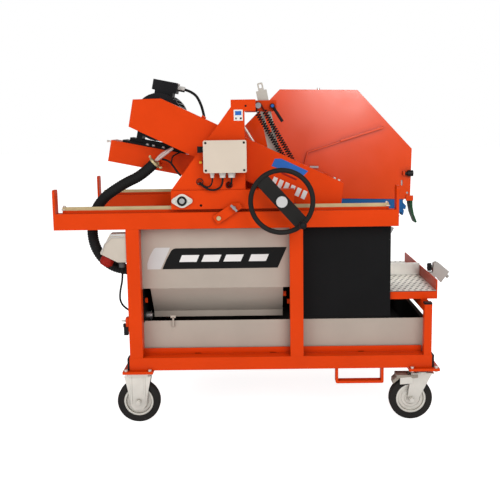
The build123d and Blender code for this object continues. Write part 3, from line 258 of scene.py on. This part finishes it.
class Shape:
    """Gathers simple solids into one mesh."""

    def __init__(self):
        self.bm = bmesh.new()

    def box(self, x0, x1, y0, y1, z0, z1):
        c = P((x0 + x1) / 2, (y0 + y1) / 2, (z0 + z1) / 2)
        size = Matrix.Diagonal((abs(x1 - x0) / 1000, abs(y1 - y0) / 1000, abs(z1 - z0) / 1000, 1))
        bmesh.ops.create_cube(self.bm, size=1, matrix=Matrix.Translation(c) @ size)
        return self

    def rod(self, x, y, z, r, length, way=(0, 1, 0), sides=28, tip=None):
        d = Vector(way).normalized()
        c = P(x, y, z) + d * length / 2000
        turn = d.to_track_quat("Z", "Y").to_matrix().to_4x4()
        bmesh.ops.create_cone(self.bm, cap_ends=True, segments=sides, radius1=r / 1000,
                              radius2=(r if tip is None else tip) / 1000, depth=length / 1000,
                              matrix=Matrix.Translation(c) @ turn)
        return self

    def bolt(self, x, y, z, r, way=(0, -1, 0)):
        """A washer with a hexagon head on it, seated on a face."""
        d = Vector(way).normalized()
        self.rod(x, y, z, r * 1.25, 1.6, way)
        q = P(x, y, z) + d * 0.0016
        self.rod(q.x * 1000 + X_MID, q.y * 1000 + Y_MID, q.z * 1000, r, r * 0.8, way, sides=6)
        return self

    def prism(self, points, y0, y1):
        """An outline in X and Z, from one depth to another."""
        a = [self.bm.verts.new(P(x, y0, z)) for x, z in points]
        b = [self.bm.verts.new(P(x, y1, z)) for x, z in points]
        self.bm.faces.new(a)
        self.bm.faces.new(list(reversed(b)))
        n = len(points)
        for i in range(n):
            self.bm.faces.new((a[i], b[i], b[(i + 1) % n], a[(i + 1) % n]))
        return self

    def lathe(self, x, z, profile, sides=48):
        """A turned piece about an axis along Y; the profile lists radius and depth."""
        rings = []
        for r, y in profile:
            if r < 0.01:
                rings.append([self.bm.verts.new(P(x, y, z))])
            else:
                rings.append([self.bm.verts.new(P(x + r * math.cos(a), y, z + r * math.sin(a)))
                              for a in (2 * math.pi * k / sides for k in range(sides))])
        for a, b in zip(rings, rings[1:]):
            for k in range(sides):
                j = (k + 1) % sides
                if len(a) == 1:
                    self.bm.faces.new((a[0], b[j], b[k]))
                elif len(b) == 1:
                    self.bm.faces.new((a[k], a[j], b[0]))
                else:
                    self.bm.faces.new((a[k], a[j], b[j], b[k]))
        return self

    def tube(self, path, r, sides=12, radii=None):
        """A round tube along points in metres; radii gives its radius at each point."""
        rings = []
        normal = None
        for i, p in enumerate(path):
            d = (path[min(i + 1, len(path) - 1)] - path[max(i - 1, 0)]).normalized()
            if normal is None:
                normal = d.orthogonal().normalized()
            normal = (normal - d * normal.dot(d)).normalized()
            side = d.cross(normal)
            q = (radii[i] if radii else r) / 1000
            rings.append([self.bm.verts.new(p + q * (math.cos(a) * normal + math.sin(a) * side))
                          for a in (2 * math.pi * k / sides for k in range(sides))])
        for a, b in zip(rings, rings[1:]):
            for k in range(sides):
                self.bm.faces.new((a[k], a[(k + 1) % sides], b[(k + 1) % sides], b[k]))
        self.bm.faces.new(list(reversed(rings[0])))
        self.bm.faces.new(rings[-1])
        return self

    def make(self, name, mat, body=None, smooth=True, slot=None):
        bmesh.ops.recalc_face_normals(self.bm, faces=self.bm.faces)
        mesh = bpy.data.meshes.new(name)
        self.bm.to_mesh(mesh)
        self.bm.free()
        mesh.materials.append(mat)
        o = bpy.data.objects.new(name, mesh)
        bpy.context.scene.collection.objects.link(o)
        if smooth:
            mesh.shade_auto(math.radians(35)) if hasattr(mesh, "shade_auto") else smooth_by_angle(o)
        if body:
            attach(o, body)
        return o


def smooth_by_angle(o, angle=35):
    """Smooth faces with the sharp corners kept."""
    bm = bmesh.new()
    bm.from_mesh(o.data)
    for f in bm.faces:
        f.smooth = True
    for e in bm.edges:
        e.smooth = len(e.link_faces) == 2 and e.calc_face_angle(0) < math.radians(angle)
    bm.to_mesh(o.data)
    bm.free()


def quadratic(points, steps=12):
    """Points along the smooth line that a control polygon of order 3 draws."""
    out = []
    n = len(points)
    for i in range(1, n - 1):
        a = points[0] if i == 1 else (points[i - 1] + points[i]) / 2
        c = points[-1] if i == n - 2 else (points[i] + points[i + 1]) / 2
        for k in range(steps):
            t = k / steps
            out.append((1 - t) ** 2 * a + 2 * t * (1 - t) * points[i] + t * t * c)
    out.append(points[-1])
    return out


def cable(name, route, r, mat, body, replaced=None):
    """A round cable along a route in millimetres, held by the machine at both ends."""
    pts = [P(*p) for p in route]
    curve = bpy.data.curves.new(name, "CURVE")
    curve.dimensions = "3D"
    curve.bevel_depth = r / 1000
    curve.bevel_resolution = 5
    curve.resolution_u = 14
    curve.use_fill_caps = True
    s = curve.splines.new("NURBS")
    s.points.add(len(pts) - 1)
    for q, p in zip(s.points, pts):
        q.co = (*p, 1)
    s.order_u = 3
    s.use_endpoint_u = True
    curve.materials.append(mat)
    o = bpy.data.objects.new(name, curve)
    bpy.context.scene.collection.objects.link(o)
    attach(o, body)
    if replaced:
        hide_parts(replaced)
    return o


TILT = math.radians(11.5)


ARM_X, ARM_Z = 235, 1264


def on_arm(s, h):
    """A point on the tilted arm: along it from its left end, and above its lower edge."""
    return (ARM_X + s * math.cos(TILT) + h * math.sin(TILT),
            ARM_Z - s * math.sin(TILT) + h * math.cos(TILT))


ABOVE = (math.sin(TILT), 0, math.cos(TILT))

# ---------------------------------------------------------------- cords
cable("mains_lead_flex", [(303, 30, 738), (303, 30, 684), (287, 38, 626), (282, 50, 574), (306, 68, 534),
                          (350, 70, 510)], 4.5, RUBBER, "stand", "mains_lead")
cx, cz = on_arm(289.6, 343)
ex, ez = on_arm(464, 68)
cable("motor_flex", [(cx, 300, cz), (632, 300, 1529), (664, 298, 1472), (680, 298, 1394),
                     (690, 300, 1310), (ex + 2, 300, ez)],
      6.5, RUBBER, "head", "motor_cable")
cable("box_cable_long", [(772, -16, 1142.6), (772, -16, 1108), (741, -14, 1087), (700, -9, 1090),
                         (666, 6, 1118)], 4.4, RUBBER, "carriage", "box_cables")
cable("box_cable_short", [(812, -16, 1142.6), (812, -16, 1125), (807, -6, 1111), (800, 11, 1105)], 4.4,
      RUBBER, "carriage")
cable("box_cable_thin", [(726, -16, 1144), (727, -16, 1126), (716, -14, 1104), (692, -8, 1100),
                         (669, 8, 1122)], 3.4, RUBBER, "carriage")

# sleeve hose, ribbed, in two lengths
SLEEVE = [(450, 130, 1203), (394, 130, 1150), (305, 130, 1112), (192, 128, 1036), (153, 124, 935),
          (157, 119, 835), (202, 114, 757), (280, 108, 712), (374, 101, 712)]
line = quadratic([P(*p) for p in SLEEVE], 60)
run, ribs = 0.0, []
for i, p in enumerate(line):
    run += (p - line[i - 1]).length if i else 0
    ribs.append(24.2 + 0.8 * math.sin(2 * math.pi * run / 0.011))
half = len(line) // 4
for name, a, b in (("sleeve_hose_top", 0, half + 1), ("sleeve_hose_low", half, len(line))):
    o = Shape().tube(line[a:b], 25, 28, ribs[a:b]).make(name, RUBBER, slot="cable_sleeve")
    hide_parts("cable_sleeve")
    if a == 0:
        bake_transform(o)
    else:
        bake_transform(o)

# ---------------------------------------------------------------- springs
def coil(top, foot, r=13.0, wire=2.5, pitch=12.0):
    a, b = P(*top), P(*foot)
    d = (b - a).normalized()
    u = Vector((0, 1, 0))
    v = d.cross(u)
    turns = (b - a).length * 1000 / pitch
    pts = []
    for k in range(int(turns * 12) + 1):
        t = k / 12
        ang = 2 * math.pi * t
        around = math.cos(ang) * u + math.sin(ang) * v
        pts.append(a + d * (t * pitch / 1000) + (r - wire) / 1000 * around)
    return pts, a, b, d


for i, (top, foot, hang) in enumerate([((928, 165, 1428), (1086, 165, 1160), (934, 160, 1462)),
                                       ((962, 170, 1436), (1120, 170, 1156), (936, 171, 1464))]):
    pts, a, b, d = coil(top, foot)
    bend = Vector((0, 0, 0.010))
    hook_a = [P(*hang) + Vector((-0.010, 0, 0.008)), P(*hang) + bend,
              P(*hang) + Vector((0.010, 0, 0.004)), a - d * 0.014, a - d * 0.004]
    hook_b = [b + d * 0.005, b + d * 0.018, b + d * 0.034]
    o = Shape().tube(quadratic(hook_a, 5) + pts[1:-1] + hook_b, 2.6, 8).make(
        f"spring_{i + 1}", BLACK, slot="lift_springs")
    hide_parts("lift_springs")
    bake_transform(o)

# ---------------------------------------------------------------- curtain and skirts
def rubber_sheet(name, x0, x1, y, z0, z1, thick, mat, body, slot, replaced, nx, nz, wave, cut=None):
    """A hanging sheet with a slight wave that grows towards its free edge."""
    bm = bmesh.new()
    grid = {}
    for side in (0, 1):
        for i in range(nx + 1):
            for k in range(nz + 1):
                x, z = x0 + (x1 - x0) * i / nx, z0 + (z1 - z0) * k / nz
                loose = (1 - k / nz) ** 1.2
                dy = wave * loose * (math.sin(x / 37.0) * 0.6 + math.sin(x / 90.0 + 1.3))
                grid[side, i, k] = bm.verts.new(P(x, y + dy + side * thick, z))
    for i in range(nx):
        for k in range(nz):
            if cut and cut(i, k):
                continue
            for side in (0, 1):
                q = [grid[side, i, k], grid[side, i + 1, k],
                     grid[side, i + 1, k + 1], grid[side, i, k + 1]]
                bm.faces.new(q if side == 0 else q[::-1])
            for (ai, ak), (bi, bk), (ni, nk) in (((i, k), (i + 1, k), (i, k - 1)),
                                                 ((i + 1, k), (i + 1, k + 1), (i + 1, k)),
                                                 ((i + 1, k + 1), (i, k + 1), (i, k + 1)),
                                                 ((i, k + 1), (i, k), (i - 1, k))):
                open_side = not (0 <= ni < nx and 0 <= nk < nz) or (cut and cut(ni, nk))
                if open_side:
                    bm.faces.new((grid[0, ai, ak], grid[0, bi, bk], grid[1, bi, bk], grid[1, ai, ak]))
    for v in [v for v in bm.verts if not v.link_faces]:
        bm.verts.remove(v)
    s = Shape()
    s.bm.free()
    s.bm = bm
    o = s.make(name, mat, body, slot=slot)
    if replaced:
        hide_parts(replaced)
    return o


curtain = rubber_sheet("curtain_sheet", 1129, 1535, 73.6, 484, 950, 3, CURTAIN, "stand", "curtain",
                       "curtain", 60, 24, 1.6)

for tag, y in (("near", 453.2), ("far", 644)):
    rubber_sheet(f"skirt_{tag}", 806, 1650, y, 926, 1018, 2.8, BLUE, "head", "guard_skirt",
                 "guard_skirt" if tag == "near" else None, 120, 6, 0.0)
for tag, y0, y1 in (("a", 456, 534), ("b", 566, 644)):
    s = Shape()
    n = 4
    for i in range(n):
        w = (y1 - y0) / n
        x = 1650 + (4 if i % 2 else 0)
        s.prism([(x, 1012), (x + 4, 1012), (x + 5, 974), (x + 21, 958), (x + 18, 942), (x + 3, 944),
                 (x + 11, 934), (x + 7, 914), (x, 912)], y0 + i * w + 1, y0 + (i + 1) * w - 1)
    s.make(f"skirt_end_{tag}", BLUE, "head", slot="guard_skirt")
flap = Shape()
flap.prism([(1698, 979), (1699, 988), (1712, 988), (1713, 948), (1720, 912), (1736, 871), (1728, 867),
            (1708, 917), (1700, 958)], 505, 595)
flap.make("green_flap", GREEN, "head", slot="guard_skirt")

# ---------------------------------------------------------------- perforated table
def perforated(name, x0, x1, y0, y1, z0, z1, pitch=(27.0, 38.0), hole=(6.6, 9.0)):
    """A plate with staggered long holes, built cell by cell."""
    s = Shape()
    cols, rows = round((x1 - x0) / pitch[0]), round((y1 - y0) / pitch[1])
    w, d = (x1 - x0) / cols, (y1 - y0) / rows

    def both(points):
        return [[s.bm.verts.new(P(x, y, z)) for x, y in points] for z in (z1, z0)]

    for r in range(rows):
        a, c = y0 + r * d, y0 + (r + 1) * d
        m = (a + c) / 2
        shift = w / 2 if r % 2 else 0
        if shift:
            for q0, q1 in ((x0, x0 + shift), (x1, x1 - shift)):
                top, low = both([(q0, a), (q1, a), (q1, m), (q1, c), (q0, c)])
                s.bm.faces.new(top)
                s.bm.faces.new(low[::-1])
        for k in range(cols - (1 if shift else 0)):
            q0 = x0 + shift + k * w
            q1, qm = q0 + w, q0 + w / 2
            rim = [(q0, a), (qm, a), (q1, a), (q1, m), (q1, c), (qm, c), (q0, c), (q0, m)]
            hx, hy = hole
            eye = [(qm - hx * 0.72, m - hy), (qm, m - hy), (qm + hx * 0.72, m - hy), (qm + hx, m),
                   (qm + hx * 0.72, m + hy), (qm, m + hy), (qm - hx * 0.72, m + hy), (qm - hx, m)]
            (rt, rl), (et, el) = both(rim), both(eye)
            for i in range(8):
                j = (i + 1) % 8
                s.bm.faces.new((rt[i], rt[j], et[j], et[i]))
                s.bm.faces.new((rl[j], rl[i], el[i], el[j]))
                s.bm.faces.new((et[i], et[j], el[j], el[i]))
    bmesh.ops.remove_doubles(s.bm, verts=s.bm.verts, dist=1e-5)
    rim = [e for e in s.bm.edges if len(e.link_faces) == 1]
    top = [e for e in rim if all(v.co.z > (z0 + z1) / 2000 for v in e.verts)]
    for e in top:
        a, b = e.verts
        lows = [s.bm.verts.new((v.co.x, v.co.y, z0 / 1000)) for v in (a, b)]
        s.bm.faces.new((a, b, lows[1], lows[0]))
    bmesh.ops.remove_doubles(s.bm, verts=s.bm.verts, dist=1e-5)
    o = s.make(name, ZINC, "stand", smooth=False, slot="table_top")
    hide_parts("table_top")
    return o


for tag, y0, y1 in (("near", 84, 541), ("far", 559, 920)):
    perforated(f"table_plate_{tag}", 1094, 1750, y0, y1, 598.9, 600)
    # a dark slab under each perforated plate: painted shade seen through the holes
    Shape().box(1094.5, 1749.5, y0 + 0.5, y1 - 0.5, 596, 598.8).make(f"table_shade_{tag}", DARK, "stand",
                                                                  slot="table_top")

# ---------------------------------------------------------------- decals
def film(name, points, y, mat, body):
    return Shape().prism(points, y - 0.5, y).make(name, mat, body)


film("hopper_film_black", [(481, 719), (500, 762), (524, 805), (534, 813), (545, 816), (1057, 816),
                           (1014, 720)], 68, FILM, "stand")
film("hopper_film_silver", [(412, 719), (412, 745), (424, 780), (445, 815), (455, 820), (520, 820),
                            (474, 719)], 68, SILVER, "stand")
for i, (x0, x1) in enumerate(((560, 640), (662, 742), (764, 844), (880, 960))):
    film(f"hopper_film_bar_{i + 1}", [(x0, 752), (x0 + 14, 784), (x1 + 14, 784), (x1, 752)], 67.4, PAPER,
         "stand")
film("cover_film_blue", [(991, 1186), (1006, 1219), (1036, 1219), (1157, 1161), (1134, 1138)], 84, SKY,
     "head")
for i in range(6):
    x, z = 992 + i * 27, 1132 - i * 12.6
    film(f"cover_film_white_{i + 1}", [(x - 6, z - 29), (x + 10, z + 7), (x + 28, z - 2),
                                       (x + 12, z - 38)], 83.9, PAPER, "head")
film("cover_film_red", [(1034, 1151), (1039, 1158), (1106, 1126), (1102, 1119)], 83.8, RED, "head")
film("tower_label", [(825, 1392), (825, 1440), (865, 1440), (865, 1392)], 12, PAPER, "carriage")
film("tower_label_mark", [(831, 1416), (831, 1434), (859, 1434), (859, 1416)], 11.5, SKY, "carriage")
film("tower_label_dot", [(852, 1398), (852, 1406), (860, 1406), (860, 1398)], 11.4, FILM, "carriage")
film("tower_label_dash", [(832, 1398), (832, 1406), (838, 1406), (838, 1398)], 11.4, FILM, "carriage")

# ---------------------------------------------------------------- fittings on the stand
s = Shape()
for x, z in ((49, 1016), (1509, 1016)):
    s.bolt(x, 39, z, 6.5, (0, 0, 1))
for x in (44, 1514):
    s.box(x - 9, x + 9, 30, 48, 1002, 1006)
s.make("bar_end_bolts", ZINC, "stand")

Shape().box(312, 327.5, 8, 44, 440, 504).make("clip_bracket", ORANGE, "stand")
Shape().box(303, 322, 4, 30, 424, 462).box(300, 312, 6, 26, 462, 476).make("post_clip", BLACK, "stand")
Shape().bolt(312, 22, 488, 6, (-1, 0, 0)).rod(312, 22, 488, 3.2, 22, (-1, 0, 0)).make(
    "post_clip_screw", ZINC, "stand")

s = Shape()
s.box(513, 537, 60, 66, 490, 502).box(521, 529, 60, 66, 448, 492)
s.make("hopper_bracket", GREY, "stand")
s = Shape()
for x, z in ((393, 564), (1044, 589), (1067, 551)):
    s.box(x - 9, x + 9, 112, 124, z - 11, z + 11)
for x in (637, 988, 1399):
    s.box(x - 14, x + 14, 60, 66, 300, 322)
s.make("brackets", ORANGE, "stand")
Shape().rod(388, 150, 482, 21, 26, (1, 0, 0)).rod(408, 150, 482, 15, 10, (1, 0, 0)).make(
    "spout", STEEL, "stand")

# inlet: lid line, wire bail, ribs and mouth of the red collar
s = Shape()
s.box(258, 326, 5, 7, 886, 893)
s.tube([P(215, 4, 806), P(230, 2, 850), P(262, 3, 880), P(320, 3, 876)], 1.8, 8)
s.make("inlet_lid_line", SILVER, "stand")
s = Shape()
turn = math.atan2(805 - 764, 286 - 206)
way = (-math.sin(turn), 0, -math.cos(turn))
for k in (3, 9, 15, 21):
    s.rod(242 + k * way[0], 41, 786.5 + k * way[2], 30.8, 3, way, 36)
s.make("collar_ribs", RED, "stand")
Shape().rod(242 + 43.5 * way[0], 41, 786.5 + 43.5 * way[2], 22, 1.5, way).make(
    "collar_mouth", FILM, "stand")

# dark sheets around the splash area, painted shade where the space under and beside the hopper is unlit,
# and the flange between hopper and post: no CAD node, guessed
Shape().box(391, 1069, 1022, 1025, 470, 640).make("far_shade_sheet", CURTAIN, "stand")
Shape().box(388.5, 391, 64, 1020, 470, 648).box(1069.5, 1072, 64, 1020, 470, 648).make(
    "side_shade_sheets", CURTAIN, "stand")
# dark strip at the end of the hopper's lower part: painted shade in the gap
Shape().box(376, 391, 61, 66, 470, 628).make("hopper_gap_shade", CURTAIN, "stand")
Shape().box(376, 391, 61, 67, 628, 905).make("hopper_flange", GREY, "stand")

# ---------------------------------------------------------------- fittings on the carriage
for tag, y, way in (("near", -4, -1), ("far", 1104, 1)):
    s = Shape()
    for x in (553, 621):
        s.bolt(x, y, 1040, 6.5, (0, way, 0))
    s.make(f"bearing_bolts_{tag}", ZINC, "carriage")
    s = Shape()
    s.lathe(587, 1040, [(12, y + way * 5), (12, y + way * 6.6), (21, y + way * 6.6), (22, y + way * 5)])
    s.make(f"bearing_seal_{tag}", BLACK, "carriage")
Shape().rod(587, -7.5, 1040, 9.6, 3, (0, -1, 0)).make("shaft_end", STEEL, "rear_axle")
s = Shape()
for x in (701, 869):
    for z in (1177, 1297):
        s.rod(x, -57, z, 5.2, 3.6, (0, -1, 0))
s.make("lid_screws", BLACK, "carriage")
# black discs in two holes: painted shade inside them
s = Shape()
for x, z, r in ((671, 1018, 6.5), (878, 1456, 4.5)):
    s.rod(x, 12.4 if r > 6 else 11.8, z, r, 1.0, (0, -1, 0))
s.make("hole_shade_discs", FILM, "carriage")
Shape().rod(999, 154.2, 1458, 7.2, 3, (0, -1, 0)).make("lever_cap", SKY, "lever")
s = Shape()
for x, z in ((668, 1124), (799, 1108)):
    s.lathe(x, z, [(12.8, 9), (15.5, 9), (15.5, 11.8), (12.8, 11.8)])
s.make("grommets", BLACK, "carriage")

# ---------------------------------------------------------------- fittings on the head
s = Shape()
s.prism([(673, 1405), (690, 1397), (697, 1409), (680, 1420)], 96, 118)
s.make("cover_tab", ORANGE, "head")
s = Shape()
for x in (1279, 1299):
    s.bolt(x, 117, 1496 - 0.4752 * (x - 495), 6, (0.429, 0, 0.903))
s.bolt(216, 280, 1306, 5, (-0.98, 0, 0.2))
s.rod(236, 280, 1303, 4, 26, (-0.98, 0, 0.2))
s.make("head_bolts", ZINC, "head")
s = Shape()
s.box(1188, 1230, 440, 446, 1156, 1166).rod(1192, 443, 1161, 6, 12, (0, 1, 0))
s.make("guard_latch", STEEL, "head")
# silver patches filling the guard's slot and hole: painted light, where they show bright through the
# sheet
s = Shape()
s.box(1640, 1654, 454, 456, 1060, 1092).box(1667, 1683, 454, 456, 1018, 1034)
s.make("slot_light_patches", SILVER, "head")
s = Shape()
for x in (412, 440, 486):
    z = ARM_Z - (x - ARM_X) * math.tan(TILT) + 51 / math.cos(TILT)
    s.bolt(x, 214, z + 6, 7, ABOVE)
s.make("slide_bolts", SILVER, "head")

# thin cables and the clear water hose by the sleeve's upper end
s = Shape()
s.tube(quadratic([P(*p) for p in ((486, 150, 1222), (518, 150, 1216), (540, 152, 1184), (558, 152, 1157),
                                  (571, 152, 1143))], 8), 4.6, 10)
s.tube(quadratic([P(*p) for p in ((528, 150, 1200), (530, 150, 1224), (542, 150, 1242),
                                  (576, 150, 1254))], 8), 3.6, 10)
s.make("thin_cables", RUBBER, "head")
s = Shape()
s.tube(quadratic([P(*p) for p in ((458, 130, 1216), (478, 130, 1240), (500, 134, 1254),
                                  (530, 150, 1270))], 8), 6.2, 12)
s.make("clear_hose", CLEAR, "head")

# ---------------------------------------------------------------- fittings on the casters
LEFT_X, RIGHT_X, NEAR_Y, FAR_Y, AXLE_Z = 356.5, 1628.5, 47, 1053, 100
for body, x, near in (("wheel_left_near", LEFT_X, NEAR_Y), ("wheel_left_far", LEFT_X, FAR_Y),
                      ("wheel_right_near", RIGHT_X, NEAR_Y), ("wheel_right_far", RIGHT_X, FAR_Y)):
    s = Shape()
    for side in (-1, 1):
        for r in (30, 44, 58):
            s.lathe(x, AXLE_Z, [(r - 2.2, near + side * 7.6), (r, near + side * 9.6),
                                (r + 2.2, near + side * 7.6)], 56)
    s.make(f"rim_rings_{body[6:]}", ZINC, body)
for body, x, near in (("stand", LEFT_X, NEAR_Y), ("stand", LEFT_X, FAR_Y),
                      ("swivel_near", RIGHT_X, NEAR_Y), ("swivel_far", RIGHT_X, FAR_Y)):
    s = Shape()
    for side in (-1, 1):
        s.bolt(x, near + side * 39, AXLE_Z, 11, (0, side, 0))
    s.make(f"axle_nuts_{int(x)}_{near}", ZINC, body)

# ---------------------------------------------------------------- stage
def plane(name, size, z, mat):
    mesh = bpy.data.meshes.new(name)
    s = size
    mesh.from_pydata([(-s, -s, z), (s, -s, z), (s, s, z), (-s, s, z)], [], [(0, 1, 2, 3)])
    mesh.materials.append(mat)
    o = bpy.data.objects.new(name, mesh)
    bpy.context.scene.collection.objects.link(o)
    return o


floor_mat = bpy.data.materials.new("floor")
floor_mat.use_nodes = True
floor_bsdf = floor_mat.node_tree.nodes["Principled BSDF"]
floor_bsdf.inputs["Base Color"].default_value = (0.80, 0.80, 0.80, 1)
floor_bsdf.inputs["Roughness"].default_value = 0.8
floor_bsdf.inputs["Emission Color"].default_value = (1, 1, 1, 1)
floor_ray = floor_mat.node_tree.nodes.new("ShaderNodeLightPath")
floor_level = floor_mat.node_tree.nodes.new("ShaderNodeMapRange")
floor_level.inputs["To Min"].default_value = 0.25
floor_level.inputs["To Max"].default_value = 0.88
link(floor_mat.node_tree, floor_ray.outputs["Is Camera Ray"], floor_level.inputs["Value"])
link(floor_mat.node_tree, floor_level.outputs["Result"], floor_bsdf.inputs["Emission Strength"])
plane("floor", 40, 0.0, floor_mat)

world = bpy.data.worlds.new("world")
bpy.context.scene.world = world
world.use_nodes = True
tree = world.node_tree
ray = tree.nodes.new("ShaderNodeLightPath")
level = tree.nodes.new("ShaderNodeMapRange")
level.inputs["To Min"].default_value = 0.38
level.inputs["To Max"].default_value = 1.0
link(tree, ray.outputs["Is Camera Ray"], level.inputs["Value"])
link(tree, level.outputs["Result"], tree.nodes["Background"].inputs["Strength"])
tree.nodes["Background"].inputs["Color"].default_value = (1.0, 1.0, 1.0, 1)


def lamp(name, where, aim, size, power):
    data = bpy.data.lights.new(name, "AREA")
    data.energy = power
    data.size = size
    o = bpy.data.objects.new(name, data)
    bpy.context.scene.collection.objects.link(o)
    o.location = where
    o.rotation_euler = (Vector(aim) - Vector(where)).to_track_quat("-Z", "Y").to_euler()


lamp("key", (1.6, -4.2, 3.0), (0, 0, 0.9), 2.4, 80)
lamp("fill", (-3.0, -3.6, 2.2), (0, 0, 0.8), 2.6, 48)
# a highlight on the blade guard alone
lamp("soft", (0.88, -4.6, 1.86), (0.3, 0, 1.45), 0.5, 80)
sheen = bpy.data.objects["soft"]
sheen.visible_diffuse = False
sheen.light_linking.receiver_collection = bpy.data.collections.new("sheen_on_guard")
sheen.light_linking.receiver_collection.objects.link(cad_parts["blade_guard"])
lamp("back", (0.5, 3.2, 3.2), (0, 0, 0.9), 2.5, 30)
bpy.context.scene.view_settings.view_transform = "Standard"
